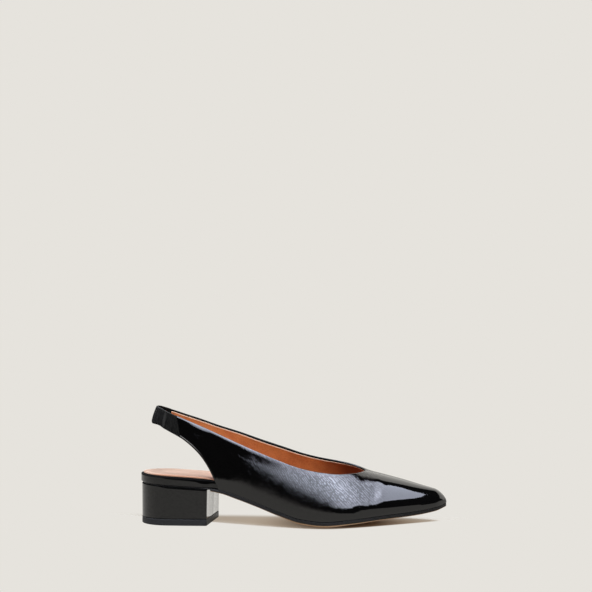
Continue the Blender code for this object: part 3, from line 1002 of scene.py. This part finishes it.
def make_elastic(textile):
    levels = np.linspace(0, 1, RIBS * RIB_ROWS + 1)
    ribs = RIB_DEPTH * (np.abs(np.sin(levels * RIBS * math.pi)) ** RIB_POWER - 1)
    selvedge = rolled(np.minimum(levels, 1 - levels) * RIBS * RIB_PITCH, SELVEDGE)
    # The band bulges between its edges, and its lower edge is drawn in
    drawn_in = BAND_DRAWN_IN * (1 - ramp(levels, 0.0, DRAWN_SHARE)) ** 2
    crown = BAND_BULGE * np.sin(math.pi * levels) - drawn_in
    outer, inner, cut = [], [], []
    for share in np.linspace(-1, 1, BAND_LINES):
        side = "lateral" if share < 0 else "medial"
        low_x = band_station(abs(share), STRAP_END[side]["low"] - BAND_GAP, BACK_LOW)
        high_x = band_station(abs(share), STRAP_END[side]["high"] - BAND_GAP, BACK_HIGH)
        x = low_x + (high_x - low_x) * levels
        low_z, high_z = rear_cut(low_x), topline[side](high_x)
        z = low_z + (high_z - low_z) * levels
        turn = ankle_turn(x, z)[:, None]
        out = np.concatenate([-turn, SIDES[side] * rounding(turn), np.zeros_like(turn)], axis=1)
        lift = gather_lift(x, levels) if side == "lateral" else np.zeros_like(x)
        bulge = crown * (1 - ramp(abs(share), *BULGE_FADE))
        points = wall(x, angle_of(x, z, side)) + out * bulge[:, None]
        outer.append(points + out * (lift - selvedge + ribs)[:, None])
        inner.append(points - out * (ELASTIC - selvedge - lift * GATHER_INSIDE + ribs)[:, None])
        # The third coordinate is the gathers' height, which places their painted highlight
        cut.append(np.stack([np.full_like(x, share * BAND_WEAVE), levels * RIBS * RIB_PITCH, lift], -1))
    band = Skin()
    band.add(np.array(outer), np.array(inner), np.array(cut), ("low", "high", "start", "end"))
    band.make("sling_elastic_band", [textile], "sling_elastic", "elastic")


# Materials


# Patent. Strokes are given by their length and width, and fades by a coordinate, two places along it and
# what is left at each
PATENT_BLACKS = (0.0020, 0.0020, 0.0022), (0.0034, 0.0033, 0.0035)
COAT_WEIGHT = 0.85
COAT_ROUGHNESS = 0.025
CRINKLE_SLANT = -50.0
CRINKLE_STROKE = (3.2, 1.6)
CRINKLE_GAP = (1.8, 1.1)
CRINKLE_UNREST = 5.0
CRINKLE_DEPTH = 0.035
CRINKLE_COAT = (-0.27, 0.18)  # what the coat's weight loses between the strokes and gains on them
CRINKLE_FADES = (("X", 70.0, 115.0, 0.2, 1.0), ("X", 185.0, 212.0, 1.0, 0.1), ("Y", 4.0, 16.0, 0.15, 1.0))
SPECK = (2.2, 1.3)
# Painted highlight: a pale line along the rear cut's rolled fold, standing in for the light its edge
# catches, and where it fades by distance from the cut and along the shoe
PAINTED_EDGE_HIGHLIGHT = (0.20, 0.20, 0.205)
PAINTED_HIGHLIGHT_FADES = (("Z", 1.1, 1.35), ("Z", 1.85, 1.6), ("X", 58.0, 46.0))

# Tan leathers, light and dark, and the colours that take over along an axis: where each is whole, where it
# is gone, and its colour. On the lining these are painted shade deep in the throat and a painted highlight
# along the lining's upper edge; the sock turns browner towards its outer rim
GRAIN_SLANT = -45.0
GRAIN_STROKE = (3.0, 0.8)
GRAIN_DEPTH = 0.05
LINING_TANS = (0.73, 0.25, 0.078), (0.55, 0.156, 0.047)
LINING_PAINTED_SHADE_AND_HIGHLIGHT = (
    # Painted shade deep in the throat, where the vamp shades the lining
    ("X", 178.0, 134.0, (0.23, 0.049, 0.013)),
    # Painted highlight along the lining's rounded upper edge
    ("Z", FOLD + 0.6, FOLD + 1.1, (0.90, 0.60, 0.44)),
)
SOCK_TANS = (0.72, 0.52, 0.42), (0.64, 0.44, 0.34)
SOCK_SHADES = (("Y", -25.0, -18.0, (0.56, 0.30, 0.20)),)

# Dull materials: light, dark, roughness, depth of the grain, its fineness and gloss
PLAIN = {
    "fold_inside": ((0.006, 0.006, 0.006), (0.003, 0.003, 0.003), 0.6, 0.03, 1.0, 0.02),
    "sole_edge": ((0.016, 0.015, 0.014), (0.008, 0.008, 0.008), 0.42, 0.03, 1.2, 0.10),
    "sole_underside": ((0.40, 0.26, 0.16), (0.30, 0.18, 0.10), 0.6, 0.04, 0.8, 0.10),
    "tip_rubber": ((0.016, 0.016, 0.016), (0.009, 0.009, 0.009), 0.55, 0.05, 1.0, 0.10),
}

# Elastic
WEAVE_BLACKS = (0.001, 0.001, 0.001), (0.018, 0.018, 0.017)
WEAVE_DEPTH = 0.12
# Painted highlight on the ridges of the gathers
GATHER_PAINTED_HIGHLIGHT = (0.036, 0.036, 0.036)
# Painted sheen along the band's upper edge
SELVEDGE_PAINTED_SHEEN = (0.055, 0.055, 0.055)


class Nodes:
    """Short way to write a material's nodes and links."""

    def __init__(self, name):
        self.material = bpy.data.materials.new(name)
        self.material.use_nodes = True
        self.tree = self.material.node_tree
        self.shader = self.tree.nodes["Principled BSDF"]

    def add(self, kind, inputs=None, **settings):
        node = self.tree.nodes.new("ShaderNode" + kind)
        for name, value in settings.items():
            setattr(node, name, value)
        for name, value in (inputs or {}).items():
            self.put(node.inputs[name], value)
        return node

    def put(self, socket, value):
        if isinstance(value, bpy.types.NodeSocket):
            self.tree.links.new(value, socket)
        else:
            socket.default_value = value

    def shade(self, **inputs):
        """The material, with these inputs of its own shader."""
        for name, value in inputs.items():
            self.put(self.shader.inputs[name.replace("_", " ")], value)
        return self.material

    def surface(self, shader):
        """The material, with another shader in place of its own."""
        self.tree.nodes.remove(self.shader)
        self.put(self.tree.nodes["Material Output"].inputs["Surface"], shader)
        return self.material

    def own_place(self):
        return self.add("TexCoord").outputs["Object"]

    def place(self, layer=None):
        """Coordinates in millimetres: a layer of the mesh, or the shoe's own frame."""
        if layer:
            return self.add("Attribute", attribute_name=layer).outputs["Vector"]
        inputs = {0: self.own_place(), "Scale": 1 / MM}
        return self.add("VectorMath", inputs, operation="SCALE").outputs["Vector"]

    def parts(self, place):
        return self.add("SeparateXYZ", {0: place}).outputs

    def strokes(self, place, angle, length, width):
        """Coordinates in which strokes of that length and width, at that angle, are one unit each way."""
        turn = (0, 0, math.radians(angle))
        inputs = {"Vector": place, "Rotation": turn, "Scale": (length, width, width)}
        return self.add("Mapping", inputs, vector_type="TEXTURE").outputs["Vector"]

    def noise(self, place, scale, detail=3.0, roughness=0.5):
        inputs = {"Vector": place, "Scale": scale, "Detail": detail, "Roughness": roughness}
        return self.add("TexNoise", inputs).outputs["Fac"]

    def lines(self, place, axis, scale, unrest, detail, detail_scale):
        """Lines across an axis, broken up by their unrest. A scale of pi / 10 sets them one unit apart."""
        inputs = {"Vector": place, "Scale": scale, "Distortion": unrest}
        inputs |= {"Detail": detail, "Detail Scale": detail_scale}
        return self.add("TexWave", inputs, bands_direction=axis).outputs["Fac"]

    def fit(self, value, low, high, to_low=0.0, to_high=1.0):
        """Soft ramp between two values."""
        inputs = {"Value": value, "From Min": low, "From Max": high, "To Min": to_low, "To Max": to_high}
        return self.add("MapRange", inputs, interpolation_type="SMOOTHSTEP").outputs["Result"]

    def fades(self, parts, rows, whole=1.0):
        """Product of ramps along the coordinates. Each row has the axis and what fit takes after it."""
        for axis, *row in rows:
            whole = self.times(self.fit(parts[axis], *row), whole)
        return whole

    def plus(self, one, other):
        return self.add("Math", {0: one, 1: other}, operation="ADD").outputs[0]

    def times(self, one, other):
        return self.add("Math", {0: one, 1: other}, operation="MULTIPLY").outputs[0]

    def sum(self, *terms):
        """Sum of pairs of a value and its weight."""
        total = None
        for value, weight in terms:
            term = self.times(value, weight)
            total = self.plus(total, term) if total else term
        return total

    def vector(self, operation, one, other):
        return self.add("VectorMath", {0: one, 1: other}, operation=operation).outputs["Vector"]

    def length(self, vector):
        return self.add("VectorMath", {0: vector}, operation="LENGTH").outputs["Value"]

    def blend(self, share, one, other):
        """Colour that goes from one to the other. Each is a colour or a socket that gives one."""
        node = self.add("Mix", data_type="RGBA")
        self.put(node.inputs[0], share)
        for socket, value in ((node.inputs[6], one), (node.inputs[7], other)):
            self.put(socket, value if isinstance(value, bpy.types.NodeSocket) else (*value, 1.0))
        return node.outputs[2]

    def bump(self, height, depth):
        """Normal from a height between 0 and 1 that stands for depth in millimetres."""
        inputs = {"Height": height, "Distance": depth * MM, "Strength": 1.0}
        return self.add("Bump", inputs).outputs["Normal"]

    def glow(self, shade, strength=1.0):
        return self.add("Emission", {"Color": (*shade, 1.0), "Strength": strength}).outputs[0]

    def mixed(self, share, one, other):
        """Shader that goes from one to the other."""
        return self.add("MixShader", {0: share, 1: one, 2: other}).outputs[0]


def patent_material(name, crinkle, coat_index, painted_edge_line=False, specks=0.0):
    """Black patent leather: a clear coat over fine slanted crinkles, which fade towards the toe, the sole
    and the heel. The rear cut can have a painted highlight, a pale line along its fold, and a small piece
    level specks."""
    nodes = Nodes(name)
    place = nodes.place("cut")
    parts = nodes.parts(place)
    lines = nodes.strokes(place, CRINKLE_SLANT, *CRINKLE_STROKE)
    lines = nodes.lines(lines, "Y", math.pi / 10, CRINKLE_UNREST, 1.0, 1.6)
    gaps = nodes.noise(nodes.strokes(place, CRINKLE_SLANT, *CRINKLE_GAP), 1.0, 1.0)
    strokes = nodes.times(lines, nodes.fit(gaps, 0.36, 0.56))
    crinkles = nodes.fades(parts, CRINKLE_FADES, crinkle)
    waves = nodes.noise(place, 0.16, 1.0, 0.4)
    height = nodes.sum((nodes.times(strokes, crinkles), -0.8), (waves, 0.5))
    normal = nodes.bump(height, CRINKLE_DEPTH)
    coat = nodes.times(nodes.fit(strokes, 0.0, 0.9, *CRINKLE_COAT), crinkles)
    if specks:
        grain = nodes.noise(nodes.strokes(place, 0.0, *SPECK), 1.0, 2.0, 0.6)
        coat = nodes.sum((coat, 1.0), (nodes.fit(grain, 0.30, 0.60, -1.0, 0.2), specks))
    colour = nodes.blend(nodes.noise(place, 0.05, 2.0), *PATENT_BLACKS)
    # Painted highlight along the rear cut's fold
    if painted_edge_line:
        colour = nodes.blend(nodes.fades(parts, PAINTED_HIGHLIGHT_FADES), colour, PAINTED_EDGE_HIGHLIGHT)
    return nodes.shade(
        Base_Color=colour,
        Roughness=nodes.fit(strokes, 0.3, 0.7, 0.40, 0.55),
        Specular_IOR_Level=0.0,
        Coat_Weight=nodes.plus(coat, COAT_WEIGHT),
        Coat_Roughness=COAT_ROUGHNESS,
        Coat_IOR=coat_index,
        Normal=normal,
        Coat_Normal=normal,
    )


def leather_material(name, light, dark, shades):
    """Smooth tan leather with a fine slanted grain and a slightly cloudy colour."""
    nodes = Nodes(name)
    place = nodes.place("cut")
    parts = nodes.parts(place)
    fibres = nodes.noise(nodes.strokes(place, GRAIN_SLANT, *GRAIN_STROKE), 1.0, 2.0, 0.6)
    clouds = nodes.noise(place, 0.06, 2.0)
    colour = nodes.blend(nodes.fit(nodes.sum((fibres, 0.45), (clouds, 0.55)), 0.35, 0.65), dark, light)
    # Colours that take over along an axis: on the lining, painted shade in the throat and a painted
    # highlight at the edge
    for axis, whole, gone, shade in shades:
        colour = nodes.blend(nodes.fit(parts[axis], whole, gone), shade, colour)
    return nodes.shade(
        Base_Color=colour,
        Roughness=nodes.fit(fibres, 0.3, 0.7, 0.48, 0.62),
        Specular_IOR_Level=0.06,
        Normal=nodes.bump(fibres, GRAIN_DEPTH),
    )


def plain_material(name, light, dark, roughness, grain, scale, gloss):
    """Dull surface with a fine even grain: rubber, painted edges, bare sole leather."""
    nodes = Nodes(name)
    specks = nodes.noise(nodes.place(), scale, 4.0, 0.6)
    return nodes.shade(
        Base_Color=nodes.blend(nodes.fit(specks, 0.35, 0.65), dark, light),
        Roughness=nodes.fit(specks, 0.3, 0.7, roughness - 0.08, roughness + 0.08),
        Specular_IOR_Level=gloss,
        Normal=nodes.bump(specks, grain),
    )


def elastic_material():
    """Dull black textile, woven across the ribs, with a painted highlight on the gathers and a painted
    sheen along its upper edge.
    """
    nodes = Nodes("elastic_textile")
    place = nodes.place("cut")
    parts = nodes.parts(place)
    threads = nodes.lines(place, "X", 0.75, 1.2, 2.0, 1.5)
    height = nodes.sum((threads, 0.6), (nodes.noise(place, 2.2, 3.0, 0.6), 0.4))
    streaks = nodes.noise(nodes.strokes(place, 90.0, 4.0, 1.0), 1.0, 2.0, 0.6)
    woven = nodes.fit(nodes.sum((height, 0.35), (streaks, 0.65)), 0.38, 0.62)
    colour = nodes.blend(woven, *WEAVE_BLACKS)
    # Painted highlight where the gathers rise
    colour = nodes.blend(nodes.fit(parts["Z"], 0.05, 0.35), colour, GATHER_PAINTED_HIGHLIGHT)
    # Painted sheen along the upper edge
    top = RIBS * RIB_PITCH
    return nodes.shade(
        Base_Color=nodes.blend(nodes.fit(parts["Y"], top - 1.0, top - 0.3), colour, SELVEDGE_PAINTED_SHEEN),
        Roughness=0.85,
        Specular_IOR_Level=0.02,
        Normal=nodes.bump(height, WEAVE_DEPTH),
    )


# The studio


BACKGROUND = (0.791, 0.768, 0.723)
BACKDROPS = (
    ("name", "radius", "unseen_by"),
    ("backdrop", 6.0, "glossy"),
    ("wide_backdrop", 25.0, "camera"),
)
AMBIENT = 0.10
LAMPS = (
    ("name", "turn", "swing", "width", "strength"),
    ("front", 40.0, 25.0, 20.0, 1.2),
    ("top", 75.0, 12.0, 22.0, 2.3),
)
FLOOR_RADIUS = 30.0
FLOOR_FADE = (0.25, 0.55)  # metres off, between which the floor turns into the backdrop's shade
# The light that is left in the pale shadow behind the ball and in the dark one below it: shade and share
PALE_SHADOW = (0.70, 0.59, 0.47), 0.54
CONTACT_SHADOW = (0.30, 0.13, 0.04), 0.03
CONTACT_PLACE = (174.0, 0.0, 0.0)
CONTACT_SHAPE = (0.55, 0.7, 1.0)  # the dark shadow is longer than wide
CONTACT_FADE = (0.010, 0.048)
# Borders of the shadow. In front it bends round its foremost place and has straight arms
SHADOW_FRONT = {"x": 152.0, "y": -33.0, "bend": 25.0, "heel_slope": 0.42, "toe_slope": 0.66, "soft": 5.0}
SHADOW_BACK = {"whole": 22.0, "none": 44.0}

# Cards bent round the shoe's length, which only glossy surfaces see. The turn runs in degrees from the
# floor in front over the shoe to the floor behind, and left and right are counted from the heel
SOFTBOX_SHADE = (0.85, 0.90, 1.08)
SOFTBOX_LIGHT = 7.3
# Share of its light that is left at its lower left corner, and where the rest comes back
SOFTBOX_DIM = {"share": 0.2, "x": (-500.0, 200.0), "turn": (8.0, 24.0)}
SOFTBOX_CORE = {"light": 8.0, "turn": 52.0, "turn_width": 30.0, "x": 900.0, "x_width": 800.0}
SOFTBOX_RADIUS = 3000.0
SOFTBOX = (
    ("turn", "left", "right"),
    (4.0, 690.0, 720.0),
    (6.0, 500.0, 800.0),
    (7.2, 0.0, 880.0),
    (8.4, -230.0, 950.0),
    (10.5, -300.0, 1090.0),
    (12.0, -450.0, 1220.0),
    (13.5, -7000.0, 1350.0),
    (21.8, -7000.0, 2070.0),
    (34.3, -7000.0, 2650.0),
    (42.5, -7000.0, 2940.0),
    (52.0, -7000.0, 3400.0),
    (64.0, -7000.0, 3750.0),
    (74.0, -7000.0, 3540.0),
    (88.3, -7000.0, 2980.0),
    (99.2, -7000.0, 2360.0),
    (108.6, -7000.0, 1740.0),
    (111.0, -7000.0, 1300.0),
)
FLAG_RADIUS = 3200.0
FLAG = (
    ("turn", "left", "right"),
    (0.0, -9000.0, 1830.0),
    (2.3, -9000.0, 1950.0),
    (6.2, -9000.0, 2300.0),
    (6.9, -9000.0, 3700.0),
    (16.0, -9000.0, 5600.0),
    (17.0, -9000.0, 9000.0),
    (126.0, -9000.0, 9000.0),
)
BACK_LIGHT = 2.0
BACK_RADIUS = 3100.0
BACK = (
    ("turn", "left", "right"),
    (125.0, -9000.0, 9000.0),
    (165.0, -9000.0, 9000.0),
)

CARD_LINES = (121, 41)

# Flat cards by their light and corners: the dark edge of the table, which stands in front on a slant and
# comes nearest beside the ball, the dark end of the room, and the lit floor behind the heel
DARK = 0.0
TABLE_EDGE = (
    (-600, -920, 0.5),
    (205, -115, 0.5),
    (212, -108, 8),
    (219, -101, 12.6),
    (222, -98, 16.5),
    (198, -122, 18),
    (190, -130, 22),
    (139, -181, 33),
    (85, -235, 54),
    (0, -320, 78),
    (-600, -920, 85),
)
FLAT_CARDS = {
    "table_edge": (DARK, TABLE_EDGE),
    "room_end": (DARK, ((9000, -4500, 780), (9000, 3000, 780), (9000, 3000, 9000), (9000, -4500, 9000))),
    "rear_floor": (2.2, ((62, 20, 0.5), (300, 20, 0.5), (300, 420, 0.5), (62, 420, 0.5))),
}
CAMERA_PLACE = (195.9, -797.1, 125.3)
CAMERA_PITCH = 4.586
CAMERA_YAW = 4.661
CAMERA_LENS = 57.36
CAMERA_CLIP = 0.01
SENSOR = 36.0


def make_camera():
    data = bpy.data.cameras.new("camera")
    data.sensor_width = SENSOR
    data.lens = CAMERA_LENS
    data.clip_start = CAMERA_CLIP
    camera = linked("camera", data)
    camera.location = in_frame(CAMERA_PLACE)[0]
    camera.rotation_euler = (math.radians(90 + CAMERA_PITCH), 0.0, math.radians(CAMERA_YAW))
    bpy.context.scene.camera = camera


def make_world():
    """Dim light from all sides. What the camera and the gloss see round the floor are plain backdrops,
    the gloss the wider one, which has the studio's cards inside it."""
    world = bpy.data.worlds.new("studio")
    world.use_nodes = True
    back = world.node_tree.nodes["Background"]
    back.inputs["Color"].default_value = (AMBIENT, AMBIENT, AMBIENT, 1.0)
    back.inputs["Strength"].default_value = 1.0
    bpy.context.scene.world = world
    material = glow_material("backdrop", BACKGROUND)
    for sphere in records(BACKDROPS):
        mesh = bmesh.new()
        bmesh.ops.create_uvsphere(mesh, u_segments=48, v_segments=24, radius=sphere["radius"])
        stage_piece(sphere["name"], mesh, material, ("diffuse", "shadow", sphere["unseen_by"]), 1.0)


def make_lamps():
    """Wide soft suns, which light the matt surfaces only. Returns what they give a level floor."""
    given = 0.0
    for lamp in records(LAMPS):
        data = bpy.data.lights.new(lamp["name"], "SUN")
        data.energy = lamp["strength"]
        data.angle = math.radians(lamp["width"])
        sun = linked(lamp["name"], data)
        sun.rotation_euler = (math.radians(90 - lamp["turn"]), 0.0, math.radians(lamp["swing"]))
        sun.visible_glossy = False
        sun.visible_camera = False
        given += lamp["strength"] * math.sin(math.radians(lamp["turn"])) / math.pi
    return given


def glow_material(name, shade):
    """Even light of one shade, as strong as the mesh's layer glow says."""
    nodes = Nodes(name)
    strength = nodes.add("Attribute", attribute_name="glow").outputs["Fac"]
    return nodes.surface(nodes.glow(shade, strength))


def stage_piece(name, mesh, material, unseen_by=(), glow=None):
    """Piece of the studio from a bmesh, which the named kinds of rays don't see."""
    data = bpy.data.meshes.new(name)
    mesh.to_mesh(data)
    mesh.free()
    data.materials.append(material)
    if glow is not None:
        layer = data.attributes.new("glow", "FLOAT", "POINT")
        layer.data.foreach_set("value", np.broadcast_to(glow, len(data.vertices)).astype(float))
    made = linked(name, data)
    for ray in unseen_by:
        setattr(made, "visible_" + ray, False)


def stage_card(name, points, faces, shade, glow):
    """Plain sheet that only reflections see, dark or giving light."""
    mesh = bmesh.new()
    corners = [mesh.verts.new(point) for point in in_frame(points)]
    for face in faces:
        mesh.faces.new([corners[i] for i in face])
    unseen_by = ("camera", "diffuse", "transmission", "volume_scatter", "shadow")
    stage_piece(name, mesh, glow_material(name, shade), unseen_by, np.ravel(glow))


def bent_card(name, table, radius, shade, light):
    """Card bent round the shoe. light gives its strength by turn and place along the shoe."""
    rows = np.array(table[1:], float)
    turn = np.linspace(rows[0, 0], rows[-1, 0], CARD_LINES[0])[:, None]
    left, right = (np.interp(turn, rows[:, 0], rows[:, i]) for i in (1, 2))
    x = left + (right - left) * np.linspace(0, 1, CARD_LINES[1])[None, :]
    height = np.maximum(radius * np.sin(np.radians(turn)), 0.5) + 0 * x
    away = -radius * np.cos(np.radians(turn)) + 0 * x
    points = np.stack([x, away, height], axis=-1)
    stage_card(name, points, grid_faces(x.shape), shade, light(turn, x))


def make_cards():
    def softbox_light(turn, x):
        core = SOFTBOX_CORE
        off_turn = (turn - core["turn"]) / core["turn_width"]
        off_x = (x - core["x"]) / core["x_width"]
        left = (1 - soft_ramp(x, *SOFTBOX_DIM["x"])) * (1 - soft_ramp(turn, *SOFTBOX_DIM["turn"]))
        even_light = SOFTBOX_LIGHT * (1 - (1 - SOFTBOX_DIM["share"]) * left)
        return even_light + core["light"] * np.exp(-(off_turn**2) - off_x**2)

    def even(light):
        return lambda turn, x: np.full_like(x, light)

    bent_card("softbox", SOFTBOX, SOFTBOX_RADIUS, SOFTBOX_SHADE, softbox_light)
    bent_card("flag", FLAG, FLAG_RADIUS, BACKGROUND, even(DARK))
    bent_card("back", BACK, BACK_RADIUS, BACKGROUND, even(BACK_LIGHT))
    for name, (light, corners) in FLAT_CARDS.items():
        stage_card(name, corners, [range(len(corners))], BACKGROUND, light)


def inside_borders(nodes, own):
    """Share of the floor's shadow that is left, by its borders in front and behind."""
    border = SHADOW_FRONT
    bend, soft = border["bend"] * MM, border["soft"] * MM
    off = nodes.vector("SUBTRACT", own, in_frame((border["x"], border["y"], 0.0))[0])
    level = nodes.vector("MULTIPLY", off, (1.0, 0.0, 0.0))
    arm = nodes.plus(nodes.length(nodes.vector("ADD", level, (0.0, bend, 0.0))), -bend)
    parts = nodes.parts(off)
    slope = nodes.fit(parts["X"], -bend, bend, border["heel_slope"], border["toe_slope"])
    behind = nodes.sum((parts["Y"], 1.0), (nodes.times(arm, slope), -1.0))
    none, whole = ((SHADOW_BACK[name] - border["y"]) * MM for name in ("none", "whole"))
    return nodes.times(nodes.fit(behind, -soft / 2, soft / 2), nodes.fit(parts["Y"], none, whole))


def make_floor(lamps):
    """Matt floor as bright as the backdrop, which turns into the backdrop's own shade further off. Its
    shadow is paler and warmer round the heel than under the ball."""
    nodes = Nodes("floor")
    own = nodes.own_place()
    off_ball = nodes.vector("SUBTRACT", own, in_frame(CONTACT_PLACE)[0])
    off_ball = nodes.length(nodes.vector("MULTIPLY", off_ball, CONTACT_SHAPE))
    light = AMBIENT + lamps

    def filled(shade, share):
        """Matt floor that is the backdrop's where lit, and whose shadow keeps a share of one shade."""
        rest = [(whole - share * kept) / (1 - share) / light for whole, kept in zip(BACKGROUND, shade)]
        lit = nodes.add("BsdfDiffuse", {"Color": (*rest, 1.0)}).outputs[0]
        return nodes.mixed(share, lit, nodes.glow(shade))

    near = nodes.mixed(nodes.fit(off_ball, *CONTACT_FADE), filled(*CONTACT_SHADOW), filled(*PALE_SHADOW))
    far = nodes.glow(BACKGROUND)
    near = nodes.mixed(inside_borders(nodes, own), far, near)
    whole = nodes.mixed(nodes.fit(nodes.length(own), *FLOOR_FADE), near, far)
    mesh = bmesh.new()
    bmesh.ops.create_circle(mesh, cap_ends=True, segments=96, radius=FLOOR_RADIUS)
    stage_piece("floor", mesh, nodes.surface(whole))


def main():
    bpy.context.scene.view_settings.view_transform = "Standard"
    make_camera()
    make_world()
    make_floor(make_lamps())
    make_cards()
    patent = patent_material("patent_crinkle", 1.0, 1.55, painted_edge_line=True)
    smooth_patent = patent_material("patent_smooth", 0.12, 1.5, specks=0.16)
    plain = {name: plain_material(name, *look) for name, look in PLAIN.items()}
    fold = plain["fold_inside"]
    make_upper(patent, fold, leather_material("lining_leather", *LINING_TANS, LINING_PAINTED_SHADE_AND_HIGHLIGHT))
    make_insole(smooth_patent, fold)
    make_sock(leather_material("sock_leather", *SOCK_TANS, SOCK_SHADES))
    make_sole(plain["sole_edge"], plain["sole_underside"])
    make_heel(smooth_patent, fold, plain["tip_rubber"])
    make_elastic(elastic_material())


main()
